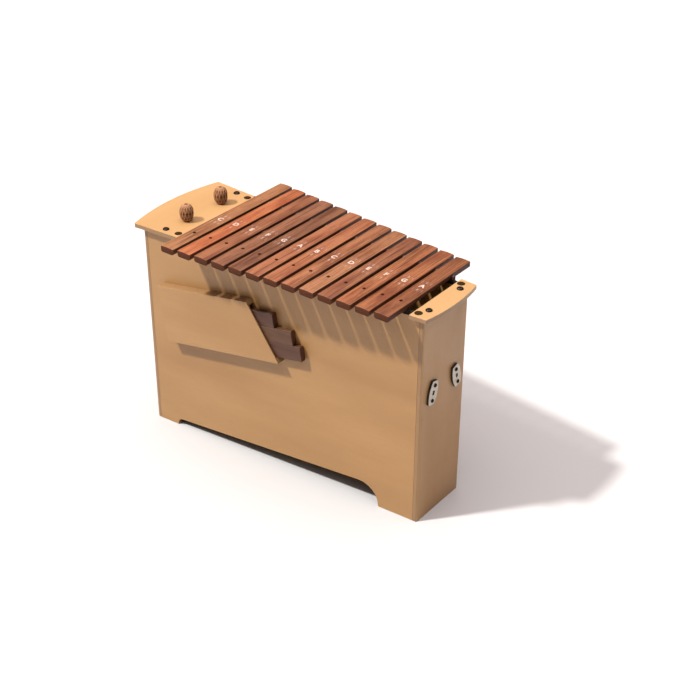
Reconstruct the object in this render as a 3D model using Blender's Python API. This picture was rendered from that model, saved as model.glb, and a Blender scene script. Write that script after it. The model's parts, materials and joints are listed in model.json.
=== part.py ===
"""Diatonic bass xylophone on a tapered resonator case, in metres, +Z up.

The case is longest along X, with the low notes at -X and the player at -Y. Its front and
back boards close in towards the high notes, as the tone bars get shorter. The origin is
on the floor, under the middle of the whole instrument.
"""

import math

import bmesh
import bpy
from mathutils import Matrix, Vector

# ---- Driving dimensions ------------------------------------------------------------

GAP = 0.0003  # between two pieces that touch

# Resonator case: outer length, height under the cover plates, outer depth at each end.
CASE_LENGTH = 0.830
CASE_TOP = 0.579
BASS_DEPTH = 0.287
TREBLE_DEPTH = 0.182
PANEL_T = 0.010  # front and back boards
END_T = 0.012  # end boards
END_CORNER_R = 0.005  # rounding of the end boards' outer upright edges

# Cut-out along the floor in the front and back boards: its ends and corner radii.
ARCH_BASS_X = -0.342
ARCH_TREBLE_X = 0.302
ARCH_BASS_HEIGHT = 0.019
ARCH_TREBLE_HEIGHT = 0.0625
ARCH_BASS_R = 0.016
ARCH_TREBLE_R = 0.056

# Resonator inside the case: a sloping floor and upright walls between chambers.
FLOOR_T = 0.006
FLOOR_ABOVE_ARCH = 0.008
WALL_T = 0.005
BASS_WALL_X = -0.290
CHAMBER_WALLS_X = (-0.126, 0.024, 0.174)
CHAMBER_WALL_TOP = 0.500

# Cover plates over the two ends of the case.
COVER_T = 0.011
COVER_OVERHANG = 0.014
COVER_CORNER_R = 0.003
BASS_COVER_INNER_X = -0.2855
BASS_COVER_CORNER_X = -0.431
BASS_COVER_REACH_X = -0.454
TREBLE_COVER_INNER_X = 0.3835
TREBLE_COVER_CORNER_X = 0.4290
TREBLE_COVER_REACH_X = 0.4395

# Domed screws: drive recess and rim, as shares of the head.
RECESS_R_SHARE = 0.30
RECESS_FLOOR_SHARE = 0.80  # recess floor against its mouth
RECESS_DEPTH_SHARE = 0.45  # of the dome's height
RIM_SHARE = 0.35  # of the dome's height

# Fasteners and plugs on the cover plates.
COVER_SCREW_R = 0.0083
COVER_SCREW_DOME = 0.0052
COVER_SCREW_SHANK_R = 0.0022
COVER_SCREW_LENGTH = 0.030
BASS_SCREW_X = -0.344
TREBLE_SCREW_X = 0.4085
TREBLE_SCREW_Y = 0.064
PLUG_R = 0.0095
PLUG_T = 0.0034
PLUG_PROUD = 0.0005
BASS_PLUG_X = -0.304
TREBLE_PLUG_X = 0.396

# Tone bars: thirteen on the case, three spare ones in the pocket.
BAR_COUNT = 13
BAR_PITCH = 0.050
BAR_MIDDLE_X = 0.049  # the seventh bar
BAR_WIDTH = 0.040
BAR_BOTTOM = 0.590
BAR_SIDE_HEIGHT = 0.0163
BAR_CROWN = 0.0012  # how much the middle of the top stands above its long edges
BAR_EDGE = 0.0010  # easing of the upper edges
BAR_LOWER_R = 0.0050  # rounding of the lower edges
BAR_LOWER_STEPS = 3
CROWN_PROFILE = ((1.0, 0.20), (0.5, 0.75))  # crown's height at the top's edge and half way in
BAR_HALF_LENGTH = 0.2023  # at the case's middle
BAR_HALF_LENGTH_SLOPE = -0.101  # per metre towards the high notes
NODE_SHARE = 0.565  # where a bar is held, as a share of its half length
TUNING_SHARE = 0.50  # half length of the hollow under a bar, as a share of its own
TUNING_DEEPEST = 0.0085  # hollow under the lowest bar
TUNING_SHALLOWEST = 0.0035  # hollow under the highest bar
TUNING_STATIONS = (-1.0, -0.8, -0.45, 0.0, 0.45, 0.8, 1.0)  # along the hollow
BAR_HOLE_R = 0.0042

# Pins and felts that the bars lie on.
STRIP_WIDTH = 0.007
STRIP_T = 0.0012
PIN_R = 0.0020
FRONT_PIN_TOP = 0.601
REAR_PIN_TOP = 0.603
FELT_WIDTH = 0.009
FELT_HOLE_R = 0.0026

# Mallets, standing head up in the bass cover plate.
MALLET_X = -0.337
MALLET_Y = 0.0645
MALLET_HOLE_R = 0.0050
SHAFT_R = 0.0040
SHAFT_LENGTH = 0.330
SHAFT_IN_HEAD = 0.030
HEAD_R = 0.0186
HEAD_HEIGHT = 0.047
CORE_R = 0.0110
CORE_HEIGHT = 0.026
EGG_POWER = 0.75  # under 1 fills a head out towards its two ends
BASE_POWER = 0.45  # the same for the lower half of a winding, which stands on the cover

# Pocket for spare bars, on the front board: the outer lower left corner of its front
# plate, its tilt, and its size along and across the tilt.
POCKET_X = -0.3362
POCKET_Z = 0.2793
POCKET_TILT = math.radians(8.8)
POCKET_BOTTOM = 0.361
POCKET_TOP = 0.2895
POCKET_HEIGHT = 0.1585
POCKET_DEPTH = 0.0246
POCKET_PLATE_T = 0.004
POCKET_FLOOR_T = 0.014
POCKET_ROOF_T = 0.010
POCKET_STOP_T = 0.010
SPARE_STEP = 0.0403
SPARE_BACK = 0.0010  # from the front board to the spare bars

# Spare bars, from the bottom of the stack: name and the place they take in the row.
SPARES = (
    ("spare_bar_f_sharp_low", 3.5),
    ("spare_bar_b_flat", 5.5),
    ("spare_bar_f_sharp_high", 10.5),
)

# Coupling plates on the treble end board.
COUPLING_Y = 0.0495
COUPLING_Z = 0.3640
COUPLING_TILT = math.radians(14.0)
COUPLING_LENGTH = 0.063
COUPLING_WIDTH = 0.035
COUPLING_END_WIDTH = 0.022
COUPLING_CORNER_R = 0.0035
COUPLING_SPACER_T = 0.0045
COUPLING_PLATE_T = 0.0020
COUPLING_SCREW_OFFSET = 0.0200
COUPLING_SCREW_R = 0.0050
COUPLING_SCREW_DOME = 0.0042
COUPLING_SHANK_R = 0.0018
COUPLING_SHANK_LENGTH = 0.014
SLOT_WIDTH = 0.0080  # through the plate, down to the spacer
SLOT_LENGTH = 0.0130
SLOT_CORNER_SHARE = 0.45  # corner radius as a share of the slot's width

ROUND = 16  # sides of a round piece
MALLET_ROUND = 12  # sides of a mallet's shaft, core and holes, and of a small screw
SMALL_ROUND = 8  # sides of a pin or a small hole
SMOOTH_ANGLE = math.radians(40)  # edges sharper than this stay sharp on round pieces
ARCH_ARC_STEPS = 6

NOTES = ("c_low", "d_low", "e_low", "f_low", "g_low", "a_low", "b_low")
NOTES += ("c_high", "d_high", "e_high", "f_high", "g_high", "a_high")

# ---- Values that follow ------------------------------------------------------------

TAPER = (BASS_DEPTH - TREBLE_DEPTH) / 2 / CASE_LENGTH
TAPER_ANGLE = math.atan(TAPER)
PANEL_Y_THICKNESS = PANEL_T / math.cos(TAPER_ANGLE)
CASE_END_X = CASE_LENGTH / 2
PANEL_END_X = CASE_END_X - END_T - GAP
COVER_BOTTOM = CASE_TOP + GAP
COVER_TOP = CASE_TOP + COVER_T
CENTRE_X = -(BASS_COVER_REACH_X + TREBLE_COVER_REACH_X) / 2


def half_depth(x):
    """From the middle plane to the outer face of the front or back board."""
    return (BASS_DEPTH + TREBLE_DEPTH) / 4 - TAPER * x


def board_middle(x):
    """From the middle plane to the middle of the front or back board's thickness."""
    return half_depth(x) - PANEL_Y_THICKNESS / 2


def bar_x(place):
    """Middle of the bar at a place in the row; the lowest bar is at place 0."""
    return BAR_MIDDLE_X + (place - (BAR_COUNT - 1) / 2) * BAR_PITCH


def bar_half_length(place):
    return BAR_HALF_LENGTH + BAR_HALF_LENGTH_SLOPE * bar_x(place)


def floor_bottom(x):
    """Underside of the resonator's floor, which runs along the top of the cut-out."""
    rise = (ARCH_TREBLE_HEIGHT - ARCH_BASS_HEIGHT) / (ARCH_TREBLE_X - ARCH_BASS_X)
    return ARCH_BASS_HEIGHT + FLOOR_ABOVE_ARCH + rise * (x - ARCH_BASS_X)


# ---- Materials and objects ---------------------------------------------------------


def material(name, colour, roughness, metallic=0.0):
    made = bpy.data.materials.new(name)
    made.use_nodes = True
    shader = made.node_tree.nodes["Principled BSDF"]
    shader.inputs["Base Color"].default_value = (*colour, 1.0)
    shader.inputs["Roughness"].default_value = roughness
    shader.inputs["Metallic"].default_value = metallic
    return made


def add_empty(name, location, rotation=(0.0, 0.0, 0.0), parent=None):
    empty = bpy.data.objects.new(name, None)
    empty.location = location
    empty.rotation_euler = rotation
    empty.parent = parent
    bpy.context.collection.objects.link(empty)
    return empty


def add_object(name, shape, look, parent, location=(0.0, 0.0, 0.0), rotation=(0.0, 0.0, 0.0)):
    """One named object from a bmesh, placed in its parent's frame."""
    bmesh.ops.recalc_face_normals(shape, faces=shape.faces)
    mesh = bpy.data.meshes.new(name)
    shape.to_mesh(mesh)
    shape.free()
    mesh.materials.append(look)
    made = bpy.data.objects.new(name, mesh)
    made.parent = parent
    made.location = location
    made.rotation_euler = rotation
    bpy.context.collection.objects.link(made)
    return made


def shade_round(made):
    made.data.shade_smooth()
    made.data.set_sharp_from_angle(angle=SMOOTH_ANGLE)


def cut(made, shape, parent, location=(0.0, 0.0, 0.0), rotation=(0.0, 0.0, 0.0)):
    """Takes a shape out of an object with a Boolean."""
    number = len(made.modifiers)
    look = made.data.materials[0]
    cutter = add_object(f"{made.name}_cutter_{number}", shape, look, parent, location, rotation)
    cutter.hide_render = True
    cutter.display_type = "WIRE"
    boolean = made.modifiers.new(f"cut_{number}", "BOOLEAN")
    boolean.operation = "DIFFERENCE"
    boolean.solver = "EXACT"
    boolean.object = cutter


def unite(made, shape, parent):
    """Joins a shape to an object with a Boolean."""
    tool = add_object(f"{made.name}_tool", shape, made.data.materials[0], parent)
    tool.hide_render = True
    tool.display_type = "WIRE"
    boolean = made.modifiers.new("unite", "BOOLEAN")
    boolean.operation = "UNION"
    boolean.solver = "EXACT"
    boolean.object = tool


# ---- Shapes ------------------------------------------------------------------------


def filleted(corners, steps=4):
    """Outline in a plane from (u, v, radius) corners, with an arc at each rounded one."""
    outline = []
    for i, (u, v, radius) in enumerate(corners):
        here = Vector((u, v))
        if radius == 0.0:
            outline.append(here)
            continue
        before = (Vector(corners[i - 1][:2]) - here).normalized()
        after = (Vector(corners[(i + 1) % len(corners)][:2]) - here).normalized()
        half = before.angle(after) / 2
        centre = here + (before + after).normalized() * (radius / math.sin(half))
        start = here + before * (radius / math.tan(half)) - centre
        end = here + after * (radius / math.tan(half)) - centre
        turn = start.angle_signed(end)
        outline += [centre + Matrix.Rotation(-turn * k / steps, 2) @ start for k in range(steps + 1)]
    return outline


def prism(outline, sweep):
    """Closed prism: a flat outline of 3-D points, swept along a vector."""
    shape = bmesh.new()
    face = shape.faces.new([shape.verts.new(point) for point in outline])
    swept = bmesh.ops.extrude_face_region(shape, geom=[face])
    far_end = [item for item in swept["geom"] if isinstance(item, bmesh.types.BMVert)]
    bmesh.ops.translate(shape, verts=far_end, vec=sweep)
    return shape


def plate(outline, bottom, thickness):
    """Horizontal plate from an outline in X and Y."""
    return prism([(u, v, bottom) for u, v in outline], (0.0, 0.0, thickness))


def loft(sections):
    """Closed solid through sections with the same number of points each."""
    shape = bmesh.new()
    rings = [[shape.verts.new(point) for point in section] for section in sections]
    count = len(rings[0])
    for first, second in zip(rings, rings[1:]):
        for i in range(count):
            j = (i + 1) % count
            shape.faces.new((first[i], first[j], second[j], second[i]))
    shape.faces.new(rings[0])
    shape.faces.new(reversed(rings[-1]))
    return shape


def turned(profile, sides):
    """Solid of revolution about Z from (radius, height) points, first and last on the axis."""
    shape = bmesh.new()
    verts = [shape.verts.new((radius, 0.0, height)) for radius, height in profile]
    edges = [shape.edges.new(pair) for pair in zip(verts, verts[1:])]
    bmesh.ops.spin(
        shape,
        geom=verts + edges,
        cent=(0.0, 0.0, 0.0),
        axis=(0.0, 0.0, 1.0),
        angle=math.tau,
        steps=sides,
        use_merge=True,
        use_duplicate=False,
    )
    bmesh.ops.remove_doubles(shape, verts=shape.verts, dist=1e-6)
    return shape


def rod(radius, bottom, top, sides=SMALL_ROUND):
    return turned([(0.0, bottom), (radius, bottom), (radius, top), (0.0, top)], sides)


def joined(shapes):
    """Several shapes in one bmesh."""
    whole = bmesh.new()
    for shape in shapes:
        mesh = bpy.data.meshes.new("part")
        shape.to_mesh(mesh)
        shape.free()
        whole.from_mesh(mesh)
        bpy.data.meshes.remove(mesh)
    return whole


def moved(shape, x, y, z=0.0):
    bmesh.ops.translate(shape, verts=shape.verts, vec=(x, y, z))
    return shape


# ---- Resonator case ----------------------------------------------------------------


def screw_spots():
    """Where the four cover screws stand, in X and Y."""
    y = board_middle(BASS_SCREW_X)
    return {
        "bass_cover_screw_front": (BASS_SCREW_X, -y),
        "bass_cover_screw_rear": (BASS_SCREW_X, y),
        "treble_cover_screw_front": (TREBLE_SCREW_X, -TREBLE_SCREW_Y),
        "treble_cover_screw_rear": (TREBLE_SCREW_X, TREBLE_SCREW_Y),
    }


def plug_spots():
    """Where the four flat plugs sit, in X and Y."""
    bass_y = board_middle(BASS_PLUG_X)
    treble_y = board_middle(TREBLE_PLUG_X)
    return {
        "bass_cover_plug_front": (BASS_PLUG_X, -bass_y),
        "bass_cover_plug_rear": (BASS_PLUG_X, bass_y),
        "treble_cover_plug_front": (TREBLE_PLUG_X, -treble_y),
        "treble_cover_plug_rear": (TREBLE_PLUG_X, treble_y),
    }


def drill_for_cover_screws(made, parent, names):
    """Pilot holes, down from the top edge of a case board."""
    for name in names:
        x, y = screw_spots()[name]
        bottom = COVER_TOP - COVER_SCREW_LENGTH - GAP
        cut(made, rod(COVER_SCREW_SHANK_R + GAP, bottom, CASE_TOP + GAP), parent, (x, y, 0.0))


def long_board(name, side, parent, look):
    """Front (side -1) or back (side +1) board, with the cut-out along the floor."""
    corners = [
        (-PANEL_END_X, 0.0, 0.0),
        (ARCH_BASS_X, 0.0, 0.0),
        (ARCH_BASS_X, ARCH_BASS_HEIGHT, ARCH_BASS_R),
        (ARCH_TREBLE_X, ARCH_TREBLE_HEIGHT, ARCH_TREBLE_R),
        (ARCH_TREBLE_X, 0.0, 0.0),
        (PANEL_END_X, 0.0, 0.0),
        (PANEL_END_X, CASE_TOP, 0.0),
        (-PANEL_END_X, CASE_TOP, 0.0),
    ]
    outline = [(x, side * half_depth(x), z) for x, z in filleted(corners, ARCH_ARC_STEPS)]
    board = add_object(name, prism(outline, (0.0, -side * PANEL_Y_THICKNESS, 0.0)), look, parent)
    screw = "bass_cover_screw_front" if side < 0 else "bass_cover_screw_rear"
    drill_for_cover_screws(board, parent, [screw])


def end_board(name, side, parent, look):
    """Bass (side -1) or treble (side +1) end board, which covers the long boards' ends."""
    outer = side * CASE_END_X
    inner = side * (CASE_END_X - END_T)
    corners = [
        (outer, -half_depth(outer), END_CORNER_R),
        (outer, half_depth(outer), END_CORNER_R),
        (inner, half_depth(inner), 0.0),
        (inner, -half_depth(inner), 0.0),
    ]
    board = add_object(name, plate(filleted(corners), 0.0, CASE_TOP), look, parent)
    if side > 0:
        drill_for_cover_screws(board, parent, ["treble_cover_screw_front", "treble_cover_screw_rear"])
        for _, y, offset in coupling_screw_spots():
            hole = rod(COUPLING_SHANK_R + GAP, -COUPLING_SHANK_LENGTH, GAP * 2)
            height = COUPLING_Z + offset * math.cos(COUPLING_TILT)
            cut(board, hole, parent, (CASE_END_X, y, height), (0.0, math.pi / 2, 0.0))


def inside_half_depth(x):
    return half_depth(x) - PANEL_Y_THICKNESS - GAP


def upright_wall(x, bottom, top):
    """Wall across the case, as thick as WALL_T, standing on the sloping floor."""
    sections = []
    for at in (x - WALL_T / 2, x + WALL_T / 2):
        y = inside_half_depth(at)
        low = bottom(at)
        sections.append([(at, -y, low), (at, y, low), (at, y, top), (at, -y, top)])
    return loft(sections)


def build_resonator(parent, look):
    ends = (-PANEL_END_X, PANEL_END_X)
    sections = []
    for x in ends:
        y = inside_half_depth(x)
        low = floor_bottom(x)
        sections.append([(x, -y, low), (x, y, low), (x, y, low + FLOOR_T), (x, -y, low + FLOOR_T)])
    add_object("resonator_floor", loft(sections), look, parent)

    def on_floor(x):
        return floor_bottom(x) + FLOOR_T + GAP

    add_object("bass_wall", upright_wall(BASS_WALL_X, on_floor, CASE_TOP), look, parent)
    for number, x in enumerate(CHAMBER_WALLS_X, start=1):
        add_object(f"chamber_wall_{number}", upright_wall(x, on_floor, CHAMBER_WALL_TOP), look, parent)


def build_case(parent, ply, pale_ply):
    long_board("front_board", -1, parent, ply)
    long_board("back_board", 1, parent, ply)
    end_board("bass_end_board", -1, parent, ply)
    end_board("treble_end_board", 1, parent, ply)
    build_resonator(parent, pale_ply)


# ---- Cover plates, their screws and plugs ------------------------------------------


def cover_outline(inner_x, corner_x, reach_x, steps=12):
    """Plan of a cover plate: straight inside and along the boards, bowed outside."""

    def edge(x):
        return half_depth(x) + COVER_OVERHANG

    corners = [(inner_x, edge(inner_x), 0.0), (inner_x, -edge(inner_x), 0.0)]
    half_width = edge(corner_x)
    for k in range(steps + 1):
        across = 2 * k / steps - 1
        x = corner_x + (reach_x - corner_x) * (1 - across * across)
        radius = COVER_CORNER_R if k in (0, steps) else 0.0
        corners.append((x, across * half_width, radius))
    return filleted(corners, steps=3)


def plug_recess():
    """Blind hole for a plug, a little wider and deeper than the plug."""
    return rod(PLUG_R + GAP, COVER_TOP + PLUG_PROUD - PLUG_T - GAP, COVER_TOP + GAP, ROUND)


def build_covers(parent, look):
    plates = {
        "bass_cover_plate": (BASS_COVER_INNER_X, BASS_COVER_CORNER_X, BASS_COVER_REACH_X),
        "treble_cover_plate": (TREBLE_COVER_INNER_X, TREBLE_COVER_CORNER_X, TREBLE_COVER_REACH_X),
    }
    for name, sizes in plates.items():
        shape = plate(cover_outline(*sizes), COVER_BOTTOM, COVER_TOP - COVER_BOTTOM)
        cover = add_object(name, shape, look, parent)
        end = name.split("_")[0]
        holes = []
        for screw, (x, y) in screw_spots().items():
            if screw.startswith(end):
                hole = rod(COVER_SCREW_SHANK_R + GAP, COVER_BOTTOM - GAP, COVER_TOP + GAP)
                holes.append(moved(hole, x, y))
        for plug, (x, y) in plug_spots().items():
            if plug.startswith(end):
                holes.append(moved(plug_recess(), x, y))
        if end == "bass":
            for y in (-MALLET_Y, MALLET_Y):
                hole = rod(MALLET_HOLE_R, COVER_BOTTOM - GAP, COVER_TOP + GAP, ROUND)
                holes.append(moved(hole, MALLET_X, y))
        cut(cover, joined(holes), parent)


def dome_screw(head_r, dome, shank_r, length, sides=ROUND):
    """Domed screw: origin under the head, with a round drive recess in the top."""
    recess_r = head_r * RECESS_R_SHARE
    recess_depth = dome * RECESS_DEPTH_SHARE
    rim = dome * RIM_SHARE
    profile = [(0.0, -length), (shank_r, -length), (shank_r, 0.0), (head_r, 0.0), (head_r, rim)]
    for share in (0.85, 0.60):
        profile.append((head_r * share, rim + (dome - rim) * (1 - share * share)))
    top = rim + (dome - rim) * (1 - (recess_r / head_r) ** 2)
    recess_floor = top - recess_depth
    profile += [(recess_r, top), (recess_r * RECESS_FLOOR_SHARE, recess_floor), (0.0, recess_floor)]
    return turned(profile, sides)


def build_cover_hardware(parent, steel, rubber):
    for name, (x, y) in screw_spots().items():
        shape = dome_screw(COVER_SCREW_R, COVER_SCREW_DOME, COVER_SCREW_SHANK_R, COVER_SCREW_LENGTH)
        shade_round(add_object(name, shape, steel, parent, (x, y, COVER_TOP + GAP)))
    for name, (x, y) in plug_spots().items():
        shape = rod(PLUG_R, -PLUG_T, 0.0, ROUND)
        shade_round(add_object(name, shape, rubber, parent, (x, y, COVER_TOP + PLUG_PROUD)))


# ---- Tone bars ---------------------------------------------------------------------


def bar_section(y, hollow):
    """Points round a bar at one place along it; the hollow lifts the underside."""
    half = BAR_WIDTH / 2
    right = []
    for k in range(BAR_LOWER_STEPS + 1):
        angle = math.pi / 2 * k / BAR_LOWER_STEPS
        across = half - BAR_LOWER_R * (1 - math.sin(angle))
        right.append((across, hollow + BAR_LOWER_R * (1 - math.cos(angle))))
    right.append((half, BAR_SIDE_HEIGHT - BAR_EDGE / 2))
    for share, rise in CROWN_PROFILE:
        right.append(((half - BAR_EDGE) * share, BAR_SIDE_HEIGHT + BAR_CROWN * rise))
    top = [(0.0, y, BAR_SIDE_HEIGHT + BAR_CROWN)]
    mirrored = [(-x, y, z) for x, z in reversed(right)]
    return [(x, y, z) for x, z in right] + top + mirrored


def bar_shape(place):
    """Tone bar along Y, its underside at z = 0, hollowed under the middle for tuning."""
    half = bar_half_length(place)
    share = place / (BAR_COUNT - 1)
    deepest = TUNING_DEEPEST + (TUNING_SHALLOWEST - TUNING_DEEPEST) * share
    reach = half * TUNING_SHARE
    sections = [bar_section(-half, 0.0)]
    for along in TUNING_STATIONS:
        sections.append(bar_section(along * reach, deepest * (1 - along * along)))
    sections.append(bar_section(half, 0.0))
    return loft(sections)


def hold_y(place):
    """Front holding point of a bar, over the middle of the front board."""
    return -board_middle(bar_x(place))


def add_bar(name, place, hole_y, look, parent, location, rotation=(0.0, 0.0, 0.0)):
    """A bar whose origin is at its pin hole, on the underside."""
    shape = moved(bar_shape(place), 0.0, -hole_y)
    made = add_object(name, shape, look, parent, location, rotation)
    hole = rod(BAR_HOLE_R, -GAP, BAR_SIDE_HEIGHT + BAR_CROWN + GAP)
    cut(made, hole, parent, location, rotation)


def build_tone_bars(parent, looks):
    for place, note in enumerate(NOTES):
        y = hold_y(place)
        add_bar(f"tone_bar_{note}", place, y, looks[place], parent, (bar_x(place), y, BAR_BOTTOM))


def pin_row(spots, top):
    """Pins standing on a thin strip that lies on the long board's top edge."""
    low = CASE_TOP + GAP
    first, last = spots[0], spots[-1]
    side = math.copysign(1.0, first[1])
    start, end = first[0] - STRIP_WIDTH, last[0] + STRIP_WIDTH
    half = STRIP_WIDTH / 2
    outline = [
        (start, side * board_middle(start) - half, low),
        (end, side * board_middle(end) - half, low),
        (end, side * board_middle(end) + half, low),
        (start, side * board_middle(start) + half, low),
    ]
    strip = prism(outline, (0.0, 0.0, STRIP_T))
    pins = joined([moved(rod(PIN_R, low + STRIP_T / 2, top), x, y) for x, y in spots])
    return strip, pins


def felt_strip(side, spots):
    """Felt along the top edge of a long board, between the cover plates."""
    low = CASE_TOP + GAP + STRIP_T + GAP
    start = BASS_COVER_INNER_X + GAP
    end = TREBLE_COVER_INNER_X - GAP
    half = FELT_WIDTH / 2
    outline = [
        (start, side * board_middle(start) - half, low),
        (end, side * board_middle(end) - half, low),
        (end, side * board_middle(end) + half, low),
        (start, side * board_middle(start) + half, low),
    ]
    strip = prism(outline, (0.0, 0.0, BAR_BOTTOM - GAP - low))
    holes = [moved(rod(FELT_HOLE_R, low - GAP, BAR_BOTTOM + GAP), x, y) for x, y in spots]
    return strip, joined(holes)


def build_bar_supports(parent, steel, felt):
    front = [(bar_x(place), hold_y(place)) for place in range(BAR_COUNT)]
    between = [bar_x(place - 0.5) for place in range(BAR_COUNT + 1)]
    rear = [(x, board_middle(x)) for x in between]
    rows = (("front", -1, front, FRONT_PIN_TOP), ("rear", 1, rear, REAR_PIN_TOP))
    for name, side, spots, top in rows:
        strip, pins = pin_row(spots, top)
        row = add_object(f"{name}_pin_row", strip, steel, parent)
        unite(row, pins, parent)
        shape, holes = felt_strip(side, spots)
        cut(add_object(f"{name}_felt", shape, felt, parent), holes, parent)


# ---- Pocket for spare bars ---------------------------------------------------------


def pocket_right_edge(height):
    """How far the pocket's front plate reaches along the tilt, at a height in it."""
    return POCKET_BOTTOM + (POCKET_TOP - POCKET_BOTTOM) * height / POCKET_HEIGHT


def pocket_board(low, high, square=None):
    """Board between the front board and the pocket's front plate; square is its own length."""
    right_low = pocket_right_edge(low) if square is None else square
    right_high = pocket_right_edge(high) if square is None else square
    outline = [
        (0.0, -GAP, low),
        (right_low, -GAP, low),
        (right_high, -GAP, high),
        (0.0, -GAP, high),
    ]
    depth = POCKET_DEPTH - POCKET_PLATE_T - 2 * GAP
    return prism(outline, (0.0, -depth, 0.0))


def build_pocket(parent, ply, looks):
    inside = -POCKET_DEPTH + POCKET_PLATE_T
    front = [
        (0.0, inside, 0.0),
        (POCKET_BOTTOM, inside, 0.0),
        (POCKET_TOP, inside, POCKET_HEIGHT),
        (0.0, inside, POCKET_HEIGHT),
    ]
    roof_low = POCKET_HEIGHT - POCKET_ROOF_T
    add_object("pocket_front_plate", prism(front, (0.0, -POCKET_PLATE_T, 0.0)), ply, parent)
    add_object("pocket_floor", pocket_board(0.0, POCKET_FLOOR_T), ply, parent)
    add_object("pocket_roof", pocket_board(roof_low, POCKET_HEIGHT), ply, parent)
    stop = pocket_board(POCKET_FLOOR_T + GAP, roof_low - GAP, square=POCKET_STOP_T)
    add_object("pocket_stop", stop, ply, parent)

    # A spare bar lies on its long edge, along the tilt, with its crowned face outwards.
    left = POCKET_STOP_T + GAP
    for level, (name, place) in enumerate(SPARES):
        height = POCKET_FLOOR_T + GAP + BAR_WIDTH / 2 + level * SPARE_STEP
        hole_y = -bar_half_length(place) * NODE_SHARE
        at = left + bar_half_length(place) + hole_y
        location = (at, -SPARE_BACK, height)
        on_edge = Matrix.Rotation(math.pi / 2, 3, "X") @ Matrix.Rotation(-math.pi / 2, 3, "Z")
        add_bar(name, place, hole_y, looks[level], parent, location, on_edge.to_euler())


# ---- Mallets -----------------------------------------------------------------------


def egg(radius, height, bottom, steps, lower_power=EGG_POWER):
    """Profile of a rounded head, fuller than an ellipse, from bottom to top."""
    profile = []
    for k in range(steps + 1):
        angle = math.pi * k / steps
        bulge = math.sin(angle) ** (lower_power if 2 * k < steps else EGG_POWER)
        profile.append((radius * bulge, bottom + height * (1 - math.cos(angle)) / 2))
    return profile


def build_mallets(parent, wood, rubber, yarn):
    """Each mallet's origin is on its shaft, at the top of the cover plate."""
    for side, y in (("front", -MALLET_Y), ("rear", MALLET_Y)):
        location = (MALLET_X, y, COVER_TOP)
        top = GAP + SHAFT_IN_HEAD
        shaft = rod(SHAFT_R, top - SHAFT_LENGTH, top, MALLET_ROUND)
        shade_round(add_object(f"mallet_shaft_{side}", shaft, wood, parent, location))

        # The core sits on the shaft; the winding goes round both, open at the shaft.
        core_low = GAP + (HEAD_HEIGHT - CORE_HEIGHT) / 2
        core_shape = turned(egg(CORE_R, CORE_HEIGHT, core_low, 6), MALLET_ROUND)
        core = add_object(f"mallet_core_{side}", core_shape, rubber, parent, location)
        cut(core, rod(SHAFT_R + GAP, 0.0, top + GAP, MALLET_ROUND), parent, location)
        shade_round(core)

        head_shape = turned(egg(HEAD_R, HEAD_HEIGHT, GAP, 12, BASE_POWER), ROUND)
        winding = add_object(f"mallet_winding_{side}", head_shape, yarn, parent, location)
        room = egg(CORE_R + 2 * GAP, CORE_HEIGHT + 4 * GAP, core_low - 2 * GAP, 6)
        cut(winding, turned(room, MALLET_ROUND), parent, location)
        bore_top = core_low + CORE_HEIGHT / 2
        cut(winding, rod(SHAFT_R + GAP, -GAP, bore_top, MALLET_ROUND), parent, location)
        shade_round(winding)


# ---- Coupling plates on the treble end ---------------------------------------------


def coupling_screw_spots():
    """Name, Y and offset along the plate of each screw of the coupling plates."""
    spots = []
    for side, sign in (("front", -1), ("rear", 1)):
        for level, offset in (("upper", COUPLING_SCREW_OFFSET), ("lower", -COUPLING_SCREW_OFFSET)):
            y = sign * (COUPLING_Y - offset * math.sin(COUPLING_TILT))
            spots.append((f"coupling_screw_{side}_{level}", y, offset))
    return spots


def barrel_outline(steps=6):
    """Coupling plate's outline along v: two bowed sides and two straight ends."""
    half = COUPLING_LENGTH / 2
    right = []
    for k in range(steps + 1):
        along = 2 * k / steps - 1
        width = COUPLING_WIDTH + (COUPLING_END_WIDTH - COUPLING_WIDTH) * along * along
        right.append((width / 2, along * half, COUPLING_CORNER_R if k in (0, steps) else 0.0))
    left = [(-u, v, radius) for u, v, radius in reversed(right)]
    return filleted(right + left, steps=3)


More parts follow.
